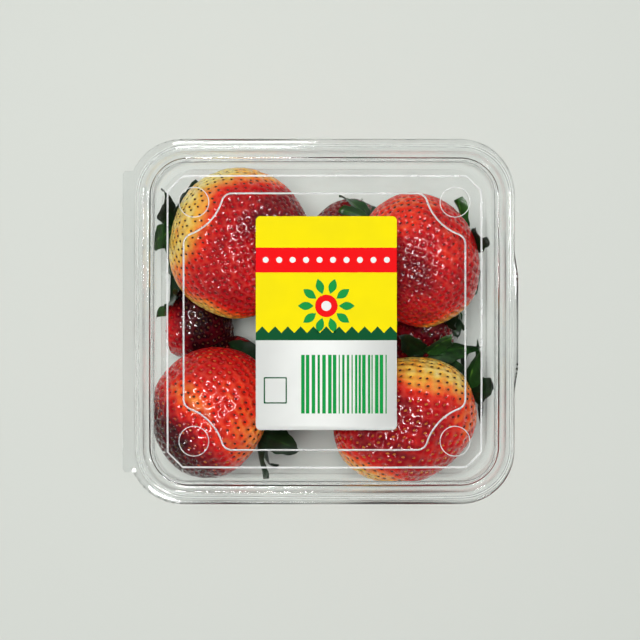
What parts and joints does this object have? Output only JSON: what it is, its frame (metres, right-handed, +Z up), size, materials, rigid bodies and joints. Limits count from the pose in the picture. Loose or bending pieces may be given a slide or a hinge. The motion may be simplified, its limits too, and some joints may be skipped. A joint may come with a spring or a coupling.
{
  "type": "punnet of strawberries",
  "caption": "Shut clear plastic punnet with a hinged lid, vent holes and a printed label, filled with fresh strawberries and their green leaves.",
  "frame": {"origin": "on the standing surface, under the middle of the whole shut pack", "axes": "+Z up; +X from the hinge towards the opening tab, the pack's longest extent; +Y towards the label's top edge"},
  "size_m": [0.1258, 0.1158, 0.0619],
  "materials": {
    "clear_plastic": "clear and glossy",
    "label_print": "printed film with a soft gloss",
    "fruit": "moist skin"
  },
  "bodies": {
    "base": {"tub": "clear_plastic", "berries": "fruit"},
    "lid": {"lid": "clear_plastic", "label": "label_print"}
  },
  "joints": [
    {"name": "lid_hinge", "type": "hinge", "parent": "base", "child": "lid", "pos_m": [-0.06305, 0, 0.04215], "axis": [0, -1, 0], "range_deg": [0, 180]}
  ]
}
